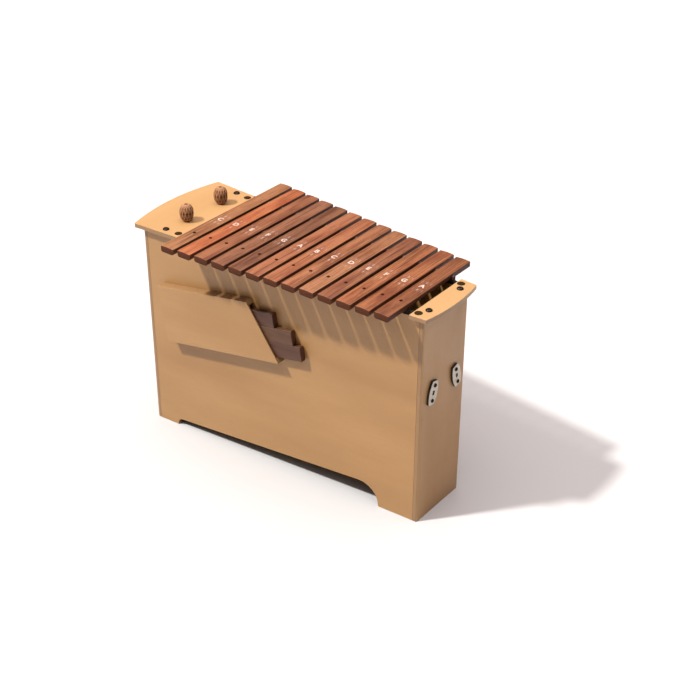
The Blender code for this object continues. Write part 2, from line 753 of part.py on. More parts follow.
def build_couplings(parent, spacer_look, plate_look, steel):
    """The plates' own frame: X out of the end board, Z along the plate."""
    corner = SLOT_WIDTH * SLOT_CORNER_SHARE
    slot_corners = [
        (-SLOT_WIDTH / 2, -SLOT_LENGTH / 2, corner),
        (SLOT_WIDTH / 2, -SLOT_LENGTH / 2, corner),
        (SLOT_WIDTH / 2, SLOT_LENGTH / 2, corner),
        (-SLOT_WIDTH / 2, SLOT_LENGTH / 2, corner),
    ]
    slot = filleted(slot_corners, steps=3)
    outline = barrel_outline()
    layers = (
        ("spacer", GAP, COUPLING_SPACER_T, spacer_look),
        ("plate", COUPLING_SPACER_T + GAP, COUPLING_PLATE_T, plate_look),
    )
    for side, sign in (("front", -1), ("rear", 1)):
        frame = (sign * COUPLING_TILT, 0.0, 0.0)
        location = (CASE_END_X, sign * COUPLING_Y, COUPLING_Z)
        for layer, start, thickness, look in layers:
            shape = prism([(start, u, v) for u, v in outline], (thickness - GAP, 0.0, 0.0))
            made = add_object(f"coupling_{layer}_{side}", shape, look, parent, location, frame)
            hole_shapes = []
            if layer == "plate":
                slot_outline = [(start - GAP, u, v) for u, v in slot]
                hole_shapes.append(prism(slot_outline, (thickness + GAP, 0.0, 0.0)))
            for offset in (-COUPLING_SCREW_OFFSET, COUPLING_SCREW_OFFSET):
                hole = rod(COUPLING_SHANK_R + GAP, start - GAP, start + thickness + GAP)
                bmesh.ops.rotate(hole, verts=hole.verts, matrix=Matrix.Rotation(math.pi / 2, 3, "Y"))
                hole_shapes.append(moved(hole, 0.0, 0.0, offset))
            cut(made, joined(hole_shapes), parent, location, frame)

    head_x = CASE_END_X + COUPLING_SPACER_T + COUPLING_PLATE_T + GAP
    for name, y, offset in coupling_screw_spots():
        height = COUPLING_Z + offset * math.cos(COUPLING_TILT)
        sizes = (COUPLING_SCREW_R, COUPLING_SCREW_DOME, COUPLING_SHANK_R, COUPLING_SHANK_LENGTH)
        screw = add_object(name, dome_screw(*sizes, MALLET_ROUND), steel, parent)
        screw.location = (head_x, y, height)
        screw.rotation_euler = (0.0, math.pi / 2, 0.0)
        shade_round(screw)


# ---- The whole instrument ----------------------------------------------------------


def main():
    for old in list(bpy.data.objects):
        bpy.data.objects.remove(old, do_unlink=True)

    ply = material("case_plywood", (0.56, 0.34, 0.16), 0.42)
    pale_ply = material("inner_plywood", (0.50, 0.34, 0.19), 0.60)
    cover_ply = material("cover_plywood", (0.93, 0.53, 0.23), 0.38)
    black_steel = material("blackened_steel", (0.015, 0.014, 0.013), 0.30, 1.0)
    pin_steel = material("pin_steel", (0.35, 0.35, 0.36), 0.35, 1.0)
    rubber = material("black_rubber", (0.018, 0.017, 0.015), 0.55)
    felt = material("dark_felt", (0.035, 0.032, 0.030), 0.95)
    shaft_wood = material("mallet_beech", (0.62, 0.42, 0.24), 0.45)
    core_rubber = material("core_rubber", (0.05, 0.05, 0.05), 0.70)
    yarn = material("brown_yarn", (0.24, 0.12, 0.08), 0.90)
    plate_grey = material("light_grey_plate", (0.62, 0.60, 0.58), 0.35)
    bar_colours = (
        (0.42, 0.15, 0.08),
        (0.62, 0.13, 0.05),
        (0.38, 0.11, 0.06),
        (0.34, 0.11, 0.06),
        (0.20, 0.08, 0.05),
        (0.52, 0.14, 0.07),
        (0.50, 0.14, 0.06),
        (0.45, 0.13, 0.07),
        (0.38, 0.11, 0.06),
        (0.32, 0.09, 0.05),
        (0.42, 0.10, 0.05),
        (0.34, 0.08, 0.04),
        (0.24, 0.06, 0.04),
    )
    bar_woods = [material(f"bar_wood_{note}", colour, 0.32) for note, colour in zip(NOTES, bar_colours)]
    spare_woods = [material(f"{name}_wood", (0.16, 0.08, 0.06), 0.40) for name, _ in SPARES]

    case = add_empty("case_centre", (CENTRE_X, 0.0, 0.0))
    build_case(case, ply, pale_ply)
    build_covers(case, cover_ply)
    build_cover_hardware(case, black_steel, rubber)
    build_bar_supports(case, pin_steel, felt)
    build_tone_bars(case, bar_woods)
    build_mallets(case, shaft_wood, core_rubber, yarn)
    build_couplings(case, rubber, plate_grey, black_steel)

    corner = (POCKET_X, -half_depth(POCKET_X), POCKET_Z)
    pocket = add_empty("pocket_corner", corner, (0.0, -POCKET_TILT, TAPER_ANGLE), case)
    build_pocket(pocket, ply, spare_woods)


main()
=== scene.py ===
"""Looks of a diatonic bass xylophone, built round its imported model. Metres, +Z up.

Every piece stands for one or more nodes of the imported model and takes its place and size
from them. The materials are procedural and read only the object's own coordinates.
"""

import json
import math

import bmesh
import bpy
from mathutils import Matrix, Vector

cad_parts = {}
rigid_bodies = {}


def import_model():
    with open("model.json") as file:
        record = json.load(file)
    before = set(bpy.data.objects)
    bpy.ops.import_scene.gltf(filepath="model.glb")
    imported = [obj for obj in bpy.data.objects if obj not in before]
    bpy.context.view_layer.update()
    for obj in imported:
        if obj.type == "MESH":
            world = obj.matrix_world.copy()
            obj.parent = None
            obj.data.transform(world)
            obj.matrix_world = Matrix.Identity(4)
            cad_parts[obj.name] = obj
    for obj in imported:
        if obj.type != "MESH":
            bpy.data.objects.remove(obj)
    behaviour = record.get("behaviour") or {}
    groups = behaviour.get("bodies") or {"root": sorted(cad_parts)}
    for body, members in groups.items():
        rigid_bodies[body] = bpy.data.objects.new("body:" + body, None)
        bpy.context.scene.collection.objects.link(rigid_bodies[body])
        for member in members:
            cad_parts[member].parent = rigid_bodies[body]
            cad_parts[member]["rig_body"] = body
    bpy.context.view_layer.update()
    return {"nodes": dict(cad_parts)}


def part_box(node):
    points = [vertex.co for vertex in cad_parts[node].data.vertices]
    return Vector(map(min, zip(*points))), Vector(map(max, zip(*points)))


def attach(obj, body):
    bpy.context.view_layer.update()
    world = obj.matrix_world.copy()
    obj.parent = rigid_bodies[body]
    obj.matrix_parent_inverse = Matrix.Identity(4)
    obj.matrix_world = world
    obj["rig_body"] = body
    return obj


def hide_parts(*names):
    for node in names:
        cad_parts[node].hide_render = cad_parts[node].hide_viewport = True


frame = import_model()

# ---- Sizes -------------------------------------------------------------------------

WELD = 1e-5  # corners nearer than this are one corner
TURNED_WELD = 1e-7  # the same in a turned piece
FLAT = math.radians(0.6)  # neighbouring faces this near to level are one face
SHARP = math.radians(28)  # edges that turn more than this are eased
SMOOTH = math.radians(50)  # edges that turn less than this are shaded round

BOARD_EASE = 0.0012
COVER_EASE = 0.0022
PLATE_EASE = 0.0007
SMALL_EASE = 0.0004

PLY = 0.0014  # one layer of the plywood

# Tone bars: roundings, and the share of half the length that the hollow underneath takes.
BAR_LOWER_R = 0.0050
BAR_UPPER_R = 0.0014
BAR_UPPER_DROP = 0.55  # height of the upper rounding, as a share of its radius
BAR_END_R = 0.0012
BAR_END_INSET = 0.6  # how far it takes in the section, as a share of its radius
BAR_CROWN = 0.0012
HOLLOW_SHARE = 0.50
HOLLOW_OVER = 1.02  # sections go on to just past the hollow
CORNER_STEPS = 4
TOP_STEPS = 10
END_STEPS = 3
HOLLOW_STEPS = 24
HOLE_R = 0.0042
HOLE_SINK_R = 0.0047
HOLE_SINK_DEPTH = 0.0009
HOLE_SIDES = 32
SINK_OVER = 0.0002  # the sunk rim's cutter widens up to this far above the bar
CUT_OVER = 0.002  # how far the cutter goes on above the bar
CUT_UNDER = 0.001  # and under it
RIM_MARGIN = 0.0003
MIDDLE_SHARE = 0.01  # of a bar's length, either way, counts as its middle
SPARE_EASE = 0.0011
SPARE_ALONG = (0.986, 0.062, 0.153)  # the way the spare bars lie

# Printed note marks: from the pin hole to the letter, on the lowest and highest bar.
MARK_FROM_HOLE_LOW = 0.095
MARK_FROM_HOLE_HIGH = 0.084
LETTER_SIZE = 0.0200
LETTER_BOLD = 0.0006
PRINT_PROUD = 0.00008
STAVE_LINES = 5
STAVE_STEP = 0.0022
STAVE_LINE_WIDTH = 0.00045
STAVE_LENGTH = 0.026
STAVE_FROM_LETTER = 0.020
NOTE_HEAD = (0.0013, 0.0009)
NOTE_SIDES = 20

# Screws: head radius, height of the dome, shank radius.
COVER_SCREW = (0.0083, 0.0052, 0.0022)
COUPLING_SCREW = (0.0050, 0.0042, 0.0018)
RIM_SHARE = 0.25  # of the dome's height
HEAD_RIM = ((0, 0), (0.97, 0), (1, 0.08), (1, RIM_SHARE))  # shares of its radius and dome
SHANK_PROFILE = ((0, -1), (0.4, -0.99), (1, -0.93), (1, 0), (0, 0))  # of its radius and length
DOME_STEPS = 10
SCREW_SIDES = 48
SHANK_SIDES = 20
RECESS_WIDTH = 0.62  # of the head's radius
RECESS_TOP = 1.2  # of the dome's height, as the next one
RECESS_DEPTH = 0.62
RECESS_TAPER = 0.92  # width at its bottom, of that at its top

# Plugs: (radius, height) points, as shares of the plug's own.
PLUG_PROFILE = ((0, 0), (0.96, 0), (1, 0.12), (1, 0.90), (0.97, 0.97), (0.93, 1), (0.80, 0.985), (0, 0.975))
PLUG_SIDES = 40

# Pins, the strip that they stand on, and the sleeves on the rear ones.
PIN_SIDES = 24
PIN_R = 0.0020
PIN_TOP_R = 0.0012
PIN_TOP_STEPS = 5
PIN_TOP_DEPTH = 1e-4  # corners this near to the highest are on a pin's top
PIN_GAP = 0.006  # tops farther apart than this along X are two pins
STRIP_TOP = 0.0013
SLEEVE_BORE_R = 0.0021
SLEEVE_R = 0.0042
SLEEVE_BELOW_PIN = 0.0012
SLEEVE_RIM = ((0, 0.0008), (0.0003, 0.0002), (0.0009, 0))  # (in from its wall, down from its top)

YARN_R = 0.00135
YARN_SIDES = 2  # bevel resolution of a strand
YARN_TURNS = 13
YARN_POINTS_PER_TURN = 40
YARN_TILTS = (math.radians(77), math.radians(56))
YARN_PHASE = 0.9  # turn from one strand to the next
YARN_NESTING = 0.03  # share by which each strand lies inside the one before
YARN_WAVE = 0.012  # unevenness, as a share of the radius
HEAD_STEPS = 32
HEAD_SIDES = 40
HEAD_UPPER_POWER = 0.75  # under 1 fills a head out towards its top
HEAD_LOWER_POWER = 0.45  # and towards its base
STRAND_DEPTH = 1.3  # from the head's surface to the middle of a strand, in strand radii
UNDER_DEPTH = 0.7  # from there to the body under the strands

NOTES = ("c_low", "d_low", "e_low", "f_low", "g_low", "a_low", "b_low")
NOTES += ("c_high", "d_high", "e_high", "f_high", "g_high", "a_high")
SPARES = ("spare_bar_f_sharp_low", "spare_bar_b_flat", "spare_bar_f_sharp_high")

# Camera and light.
CAMERA_PLACE = (1.9142, -2.3434, 2.1634)
CAMERA_YAW = math.radians(37.07)
CAMERA_PITCH = math.radians(31.68)
CAMERA_ROLL = math.radians(0.43)
CAMERA_LENS = 71.29
CAMERA_SENSOR = 36.0
SUN_TRAVEL = (0.385, 0.457, -0.802)
SUN_STRENGTH = 4.7
SUN_SOFTNESS = math.radians(4.0)
SUN_COLOUR = (1.0, 0.985, 0.95)
SKY_COLOUR = (1.0, 0.90, 0.89)
SKY_OVERHEAD = 4.8  # strength straight overhead
SKY_FALL_OFF = 5.0  # how fast it fades towards the horizon, as a power
SKY_AT_HORIZON = 0.95  # a narrow band, so that low views have a pale background
BAND_FALL_OFF = 16.0  # the same for the band, upwards
REFLECTANCE = 0.66  # what a card colour is multiplied by, to look like itself in this light
FLOOR_COLOUR = (0.47, 0.47, 0.47, 1.0)
FLOOR_SIZE = 80.0
FLOOR_DROP = 0.0002

# ---- Colours, as a paint card gives them, 0 to 255 ---------------------------------


def paint(red, green, blue):
    """A screen colour as the linear colour that a shader takes."""
    linear = []
    for level in (red, green, blue):
        share = level / 255
        light = share / 12.92 if share <= 0.04045 else ((share + 0.055) / 1.055) ** 2.4
        linear.append(light * REFLECTANCE)
    return (*linear, 1.0)


CASE = paint(198, 151, 95)
CASE_DEEP = paint(182, 134, 80)
COVER = paint(214, 168, 114)
COVER_DEEP = paint(202, 155, 101)
PLY_PALE = paint(182, 142, 98)
PLY_DARK = paint(146, 106, 66)
INNER = paint(150, 116, 78)
INNER_DEEP = paint(124, 92, 58)
BAR_END = paint(92, 48, 22)
# colour of the grain lines and pores, and also of the painted shade on the sides of the tone bars
BAR_GRAIN_AND_SHADE = paint(60, 24, 12)
PRINT = paint(228, 210, 198)

# Each bar's own face colour and its deeper streaks.
BAR_FACES = (
    ((178, 124, 86), (142, 90, 56)),
    ((196, 122, 80), (156, 78, 44)),
    ((168, 110, 76), (122, 68, 44)),
    ((160, 108, 80), (116, 70, 46)),
    ((146, 98, 70), (102, 60, 40)),
    ((176, 116, 82), (138, 76, 48)),
    ((180, 118, 82), (140, 76, 46)),
    ((178, 120, 84), (134, 76, 46)),
    ((178, 124, 88), (136, 82, 52)),
    ((164, 108, 76), (118, 66, 44)),
    ((180, 118, 78), (134, 70, 42)),
    ((172, 110, 72), (122, 64, 38)),
    ((156, 98, 64), (100, 52, 30)),
)
SPARE_FACES = (
    ((100, 60, 38), (74, 42, 27)),
    ((110, 72, 43), (80, 48, 28)),
    ((96, 60, 40), (72, 42, 27)),
)

# ---- Materials ---------------------------------------------------------------------


class Look:
    """One procedural material and short ways to add nodes to it."""

    def __init__(self, name, roughness=0.5, metallic=0.0):
        self.material = bpy.data.materials.new(name)
        self.material.use_nodes = True
        self.nodes = self.material.node_tree.nodes
        self.links = self.material.node_tree.links
        self.shader = self.nodes["Principled BSDF"]
        self.shader.inputs["Roughness"].default_value = roughness
        self.shader.inputs["Metallic"].default_value = metallic
        self.place = self.nodes.new("ShaderNodeTexCoord").outputs["Object"]

    def feed(self, socket, value):
        if isinstance(value, bpy.types.NodeSocket):
            self.links.new(value, socket)
        else:
            socket.default_value = value

    def node(self, kind, inputs, **settings):
        made = self.nodes.new("ShaderNode" + kind)
        for key, value in settings.items():
            setattr(made, key, value)
        for key, value in inputs.items():
            self.feed(made.inputs[key], value)
        return made

    def stretched(self, scale, shift=(0.0, 0.0, 0.0)):
        inputs = {"Vector": self.place, "Scale": scale, "Location": shift}
        return self.node("Mapping", inputs).outputs["Vector"]

    def noise(self, scale, vector=None, detail=3.0, rough=0.55):
        inputs = {"Vector": vector or self.place, "Scale": scale, "Detail": detail, "Roughness": rough}
        return self.node("TexNoise", inputs).outputs["Fac"]

    def ramp(self, share, low, high):
        """Share, spread so that low becomes 0 and high becomes 1."""
        inputs = {"Value": share, "From Min": low, "From Max": high}
        return self.node("MapRange", inputs, clamp=True).outputs["Result"]

    def maths(self, operation, first, second=0.0):
        return self.node("Math", {0: first, 1: second}, operation=operation).outputs["Value"]

    def mix(self, share, first, second):
        made = self.node("Mix", {0: share, 6: first, 7: second}, data_type="RGBA")
        return made.outputs[2]

    def facing(self, direction):
        """How squarely a face looks along a direction or against it, 0 to 1."""
        normal = self.node("NewGeometry", {}).outputs["Normal"]
        dot = self.node("VectorMath", {0: normal, 1: direction}, operation="DOT_PRODUCT")
        return self.maths("ABSOLUTE", dot.outputs["Value"])

    def eased(self):
        """1 on the rounded edges of a piece."""
        return self.node("Attribute", {}, attribute_name="eased").outputs["Fac"]

    def finish(self, colour, rough=None, height=None, bump=0.1, depth=0.0005):
        """Links colour, roughness and relief to the shader and gives the material."""
        self.feed(self.shader.inputs["Base Color"], colour)
        if rough is not None:
            self.feed(self.shader.inputs["Roughness"], rough)
        if height is not None:
            inputs = {"Height": height, "Strength": bump, "Distance": depth}
            self.feed(self.shader.inputs["Normal"], self.node("Bump", inputs).outputs["Normal"])
        return self.material


def grain_scale(grain, across, along):
    """Noise scale on each axis, lower along the grain than across it."""
    return [across + (along - across) * abs(share) for share in grain]


def plywood(name, face, deep, grain, thickness_axis, rough=(0.34, 0.48), coat=0.15):
    """Lacquered plywood: long grain on the faces, layers on the edges."""
    look = Look(name)
    fine = look.stretched(grain_scale(grain, 260.0, 15.0))
    broad = look.stretched(grain_scale(grain, 9.0, 1.6))
    streak = look.noise(1.0, fine, 4.0, 0.62)
    cloud = look.noise(1.0, broad, 3.0)
    tone = look.mix(look.ramp(cloud, 0.32, 0.70), face, deep)
    line = look.maths("MULTIPLY", look.ramp(streak, 0.50, 0.78), 0.34)
    tone = look.mix(line, tone, deep)
    flecks = look.noise(1.0, look.stretched(grain_scale(grain, 900.0, 120.0)), 1.0)
    tone = look.mix(look.maths("MULTIPLY", look.ramp(flecks, 0.64, 0.74), 0.22), tone, PLY_DARK)

    across = look.node("VectorMath", {0: look.place, 1: thickness_axis}, operation="DOT_PRODUCT")
    layer = look.maths("SINE", look.maths("MULTIPLY", across.outputs["Value"], math.pi / PLY))
    layer = look.ramp(look.maths("ADD", layer, look.maths("MULTIPLY", streak, 0.5)), -0.5, 0.9)
    edge = look.mix(layer, PLY_DARK, PLY_PALE)
    is_edge = look.ramp(look.facing(thickness_axis), 0.62, 0.50)
    tone = look.mix(is_edge, tone, edge)
    tone = look.mix(look.maths("MULTIPLY", look.eased(), 0.25), tone, PLY_PALE)

    smears = look.ramp(look.noise(14.0, detail=4.0), 0.3, 0.7)
    polish = look.node("MapRange", {"Value": smears, "To Min": rough[0], "To Max": rough[1]})
    look.shader.inputs["Coat Weight"].default_value = coat
    look.shader.inputs["Coat Roughness"].default_value = 0.3
    return look.finish(tone, polish.outputs["Result"], streak, 0.10, 0.0004)


def rosewood(name, face, deep, seed):
    """Oiled hardwood with its grain along Y, sealed dark ends and painted shade on its sides."""
    look = Look(name)
    shift = (seed * 0.37, seed * 1.91, seed * 0.53)
    long_grain = look.stretched((1.0, 0.055, 1.0), shift)
    rings = look.node(
        "TexWave",
        {
            "Vector": long_grain,
            "Scale": 52.0,
            "Distortion": 9.0,
            "Detail": 3.0,
            "Detail Scale": 0.55,
            "Detail Roughness": 0.6,
        },
        bands_direction="X",
    ).outputs["Fac"]
    cloud = look.noise(1.0, look.stretched((60.0, 7.0, 60.0), shift), 4.0, 0.65)
    tone = look.mix(look.ramp(cloud, 0.42, 0.66), paint(*face), paint(*deep))
    ring_share = look.maths("MULTIPLY", look.ramp(rings, 0.50, 0.95), 0.62)
    tone = look.mix(ring_share, tone, paint(*deep))
    pores = look.noise(1.0, look.stretched((1300.0, 70.0, 1300.0), shift), 2.0)
    pore_share = look.maths("MULTIPLY", look.ramp(pores, 0.58, 0.70), 0.65)
    tone = look.mix(pore_share, tone, BAR_GRAIN_AND_SHADE)
    streaks = look.noise(1.0, look.stretched((210.0, 4.0, 210.0), shift), 3.0, 0.65)
    tone = look.mix(look.maths("MULTIPLY", look.ramp(streaks, 0.53, 0.68), 0.80), tone, BAR_GRAIN_AND_SHADE)

    # painted shade: the sides of a bar, which face along X, are darkened as if in the shade between the
    # bars
    sides = look.maths("MULTIPLY", look.ramp(look.facing((1.0, 0.0, 0.0)), 0.45, 0.80), 0.72)
    tone = look.mix(sides, tone, BAR_GRAIN_AND_SHADE)
    worn = look.maths("MULTIPLY", look.eased(), look.ramp(cloud, 0.2, 0.9))
    tone = look.mix(look.maths("MULTIPLY", worn, 0.45), tone, paint(*face))
    ends = look.ramp(look.facing((0.0, 1.0, 0.0)), 0.62, 0.80)
    end_spots = look.ramp(look.noise(1500.0, detail=2.0), 0.45, 0.9)
    tone = look.mix(ends, tone, look.mix(end_spots, BAR_END, BAR_GRAIN_AND_SHADE))

    rough = look.node("MapRange", {"Value": cloud, "To Min": 0.38, "To Max": 0.58})
    rough = look.maths("ADD", rough.outputs["Result"], look.maths("MULTIPLY", ends, 0.35))
    look.shader.inputs["Specular IOR Level"].default_value = 0.24
    height = look.maths("SUBTRACT", look.maths("MULTIPLY", streaks, 0.4), pore_share)
    return look.finish(tone, rough, height, 0.30, 0.0003)


def beech(name):
    """Pale turned wood with its grain along Z."""
    look = Look(name)
    grain = look.noise(1.0, look.stretched((900.0, 900.0, 26.0)), 3.0)
    tone = look.mix(look.ramp(grain, 0.40, 0.70), paint(230, 190, 142), paint(192, 148, 102))
    tone = look.mix(look.maths("MULTIPLY", look.eased(), 0.4), tone, PLY_PALE)
    rough = look.node("MapRange", {"Value": grain, "To Min": 0.40, "To Max": 0.60})
    return look.finish(tone, rough.outputs["Result"], grain, 0.2, 0.0002)


def painted(name, colour, pale, roughness, metallic=0.0, grit=700.0, bump=0.06, rim_shade=None, shine=0.5):
    """Evenly coloured piece with a fine grit, soft smears and lighter worn edges.

    With a rim colour, whatever doesn't face along X takes that colour as painted shade, such as
    on the edge of a plate on an end board and on the walls of the holes in it.
    """
    look = Look(name, roughness, metallic)
    look.shader.inputs["Specular IOR Level"].default_value = shine
    smear = look.ramp(look.noise(60.0, detail=4.0), 0.35, 0.75)
    tone = look.mix(look.maths("MULTIPLY", smear, 0.35), colour, pale)
    tone = look.mix(look.maths("MULTIPLY", look.eased(), 0.35), tone, pale)
    if rim_shade is not None:
        # painted shade: edges and hole walls, which don't face along X, take the dark rim colour
        shaded_rim = look.ramp(look.facing((1.0, 0.0, 0.0)), 0.96, 0.86)
        tone = look.mix(shaded_rim, tone, paint(*rim_shade))
    rough = look.node("MapRange", {"Value": smear, "To Min": roughness * 0.8, "To Max": roughness * 1.2})
    return look.finish(tone, rough.outputs["Result"], look.noise(grit), bump, 0.0002)


def fibrous(name, colour, pale, scale):
    """Wool or felt: soft and matt, with clumps of fibres."""
    look = Look(name, 0.95)
    fibres = look.noise(scale, detail=5.0, rough=0.7)
    clumps = look.noise(scale / 9, detail=3.0)
    tone = look.mix(look.ramp(fibres, 0.35, 0.68), colour, pale)
    tone = look.mix(look.maths("MULTIPLY", look.ramp(clumps, 0.4, 0.7), 0.4), tone, colour)
    look.shader.inputs["Sheen Weight"].default_value = 0.02
    look.shader.inputs["Sheen Roughness"].default_value = 0.5
    look.shader.inputs["Specular IOR Level"].default_value = 0.06
    return look.finish(tone, None, fibres, 0.6, 0.0004)


# ---- Making pieces -----------------------------------------------------------------


def as_mesh(name, shape):
    """Turns a bmesh into a mesh and frees it."""
    mesh = bpy.data.meshes.new(name)
    shape.to_mesh(mesh)
    shape.free()
    return mesh


def add_object(name, data):
    """Puts new data in the scene as an object."""
    made = bpy.data.objects.new(name, data)
    bpy.context.scene.collection.objects.link(made)
    return made


def piece(name, shape, look, node, stands_for=None):
    """A finished object from a bmesh, on the body of a node that it stands for."""
    mesh = as_mesh(name, shape)
    mesh.materials.append(look)
    mesh.shade_smooth()
    mesh.set_sharp_from_angle(angle=SMOOTH)
    made = add_object(name, mesh)
    settle(made, node, stands_for)
    return made


def settle(made, node, stands_for=None):
    """Puts a piece on its body, and has it stand for its node, or for those given."""
    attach(made, frame["nodes"][node]["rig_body"])
    if stands_for is None:
        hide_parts(node)
    elif stands_for:
        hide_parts(*stands_for)


def whole_faces(node):
    """A node's solid as a bmesh, with its flat faces made whole."""
    shape = bmesh.new()
    shape.from_mesh(frame["nodes"][node].data)
    bmesh.ops.remove_doubles(shape, verts=shape.verts, dist=WELD)
    bmesh.ops.dissolve_limit(shape, angle_limit=FLAT, verts=shape.verts, edges=shape.edges)
    return shape


def ease(shape, width, segments=3):
    """Rounds the sharp edges and marks the new faces as eased."""
    layer = shape.faces.layers.float.new("eased")
    edges = [e for e in shape.edges if len(e.link_faces) == 2 and e.calc_face_angle() > SHARP]
    made = bmesh.ops.bevel(
        shape,
        geom=edges,
        offset=width,
        offset_type="OFFSET",
        segments=segments,
        profile=0.5,
        affect="EDGES",
        clamp_overlap=True,
    )
    for face in made["faces"]:
        face[layer] = 1.0


def eased_piece(node, width, look):
    """A node's own shape with its sharp edges rounded."""
    shape = whole_faces(node)
    ease(shape, width)
    made = piece(f"{node}_finished", shape, look, node)
    weighted = made.modifiers.new("even_shading", "WEIGHTED_NORMAL")
    weighted.keep_sharp = True


def turned(profile, sides, centre):
    """Solid of revolution about an upright axis from (radius, height) points."""
    shape = bmesh.new()
    verts = [shape.verts.new((radius, 0.0, height)) for radius, height in profile]
    edges = [shape.edges.new(pair) for pair in zip(verts, verts[1:])]
    bmesh.ops.spin(
        shape,
        geom=verts + edges,
        cent=(0.0, 0.0, 0.0),
        axis=(0.0, 0.0, 1.0),
        angle=math.tau,
        steps=sides,
        use_merge=True,
        use_duplicate=False,
    )
    bmesh.ops.remove_doubles(shape, verts=shape.verts, dist=TURNED_WELD)
    bmesh.ops.recalc_face_normals(shape, faces=shape.faces)
    bmesh.ops.translate(shape, verts=shape.verts, vec=centre)
    return shape


def merged(shapes):
    """Several shapes in one bmesh."""
    whole = bmesh.new()
    for shape in shapes:
        mesh = as_mesh("part", shape)
        whole.from_mesh(mesh)
        bpy.data.meshes.remove(mesh)
    return whole


def drilled(made, cutter_shape):
    """Cuts a shape out of a piece and leaves no modifier or cutter behind."""
    cutter = add_object("cutter", as_mesh("cutter", cutter_shape))
    boolean = made.modifiers.new("drill", "BOOLEAN")
    boolean.operation = "DIFFERENCE"
    boolean.solver = "EXACT"
    boolean.object = cutter
    graph = bpy.context.evaluated_depsgraph_get()
    result = bpy.data.meshes.new_from_object(made.evaluated_get(graph))
    made.modifiers.remove(boolean)
    made.data = result
    bpy.data.objects.remove(cutter)
    result.set_sharp_from_angle(angle=SMOOTH)


# ---- Case --------------------------------------------------------------------------


def board_taper():
    """Angle between the front board and the X axis, from the case's depth at each end."""
    bass_low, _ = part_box("bass_end_board")
    treble_low, treble_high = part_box("treble_end_board")
    return math.atan((treble_low.y - bass_low.y) / (treble_high.x - bass_low.x))


def build_case():
    """Boards, inner walls, cover plates and the pocket for the spare bars."""
    taper = board_taper()
    across_front = (-math.sin(taper), math.cos(taper), 0.0)
    across_back = (math.sin(taper), math.cos(taper), 0.0)
    long_x, long_z = (1.0, 0.0, 0.0), (0.0, 0.0, 1.0)
    looks = {
        "front_board": plywood("ply_front", CASE, CASE_DEEP, long_x, across_front),
        "back_board": plywood("ply_back", CASE, CASE_DEEP, long_x, across_back),
        "bass_end_board": plywood("ply_bass_end", CASE, CASE_DEEP, long_z, long_x),
        "treble_end_board": plywood("ply_treble_end", CASE, CASE_DEEP, long_z, long_x),
    }
    for node, look in looks.items():
        eased_piece(node, BOARD_EASE, look)

    inner = plywood("ply_inner_wall", INNER, INNER_DEEP, long_z, long_x, (0.6, 0.8), 0.0)
    for node in ("bass_wall", "chamber_wall_1", "chamber_wall_2", "chamber_wall_3"):
        eased_piece(node, SMALL_EASE, inner)
    floor = plywood("ply_inner_floor", INNER, INNER_DEEP, long_x, long_z, (0.6, 0.8), 0.0)
    eased_piece("resonator_floor", SMALL_EASE, floor)

    cover = plywood("ply_cover", COVER, COVER_DEEP, (0.0, 1.0, 0.0), long_z, (0.30, 0.42), 0.25)
    for node in ("bass_cover_plate", "treble_cover_plate"):
        eased_piece(node, COVER_EASE, cover)

    pocket = plywood("ply_pocket", CASE, CASE_DEEP, long_x, across_front)
    eased_piece("pocket_front_plate", PLATE_EASE, pocket)
    for node in ("pocket_floor", "pocket_roof", "pocket_stop"):
        eased_piece(node, PLATE_EASE, pocket)


# ---- Fasteners ---------------------------------------------------------------------


def screw_shape(head_r, dome):
    """Domed head, its underside at z = 0."""
    profile = [(head_r * out, dome * up) for out, up in HEAD_RIM]
    for k in range(1, DOME_STEPS + 1):
        angle = math.pi / 2 * k / DOME_STEPS
        rise = RIM_SHARE + (1 - RIM_SHARE) * math.sin(angle)
        profile.append((head_r * math.cos(angle), dome * rise))
    profile[-1] = (0.0, dome)
    return turned(profile, SCREW_SIDES, (0.0, 0.0, 0.0))


def hex_recess(width, top, depth):
    """Cutter for a six-sided drive, a little narrower at its bottom."""
    shape = bmesh.new()
    upper = width / 2
    lower = upper * RECESS_TAPER
    bmesh.ops.create_cone(shape, cap_ends=True, segments=6, radius1=lower, radius2=upper, depth=depth)
    bmesh.ops.translate(shape, verts=shape.verts, vec=(0.0, 0.0, top - depth / 2))
    return shape


def shank(radius, length):
    """Shank under a head, with a blunt point."""
    profile = [(radius * out, length * up) for out, up in SHANK_PROFILE]
    return turned(profile, SHANK_SIDES, (0.0, 0.0, 0.0))


def build_screw(node, look, axis, head_r, dome, shank_r):
    """A screw with its head against the face that its node's head lies on."""
    low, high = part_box(node)
    centre = (low + high) / 2
    total = (high - low).z if axis == "Z" else (high - low).x
    made = piece(f"{node}_finished", screw_shape(head_r, dome), look, node)
    drilled(made, hex_recess(head_r * RECESS_WIDTH, dome * RECESS_TOP, dome * RECESS_DEPTH))
    mesh = as_mesh("stem", shank(shank_r, total - dome))
    both = bmesh.new()
    both.from_mesh(made.data)
    both.from_mesh(mesh)
    bpy.data.meshes.remove(mesh)
    if axis == "Z":
        place = Matrix.Translation((centre.x, centre.y, high.z - dome))
    else:
        place = Matrix.Translation((high.x - dome, centre.y, centre.z))
        place = place @ Matrix.Rotation(math.pi / 2, 4, "Y")
    both.transform(place)
    both.to_mesh(made.data)
    both.free()
    made.data.shade_smooth()
    made.data.set_sharp_from_angle(angle=SMOOTH)


def build_plug(node, look):
    """A flat plug with a rounded rim, as large as its node."""
    low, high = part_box(node)
    radius = (high.x - low.x) / 2
    height = high.z - low.z
    profile = [(radius * out, height * up) for out, up in PLUG_PROFILE]
    centre = ((low.x + high.x) / 2, (low.y + high.y) / 2, low.z)
    piece(f"{node}_finished", turned(profile, PLUG_SIDES, centre), look, node)


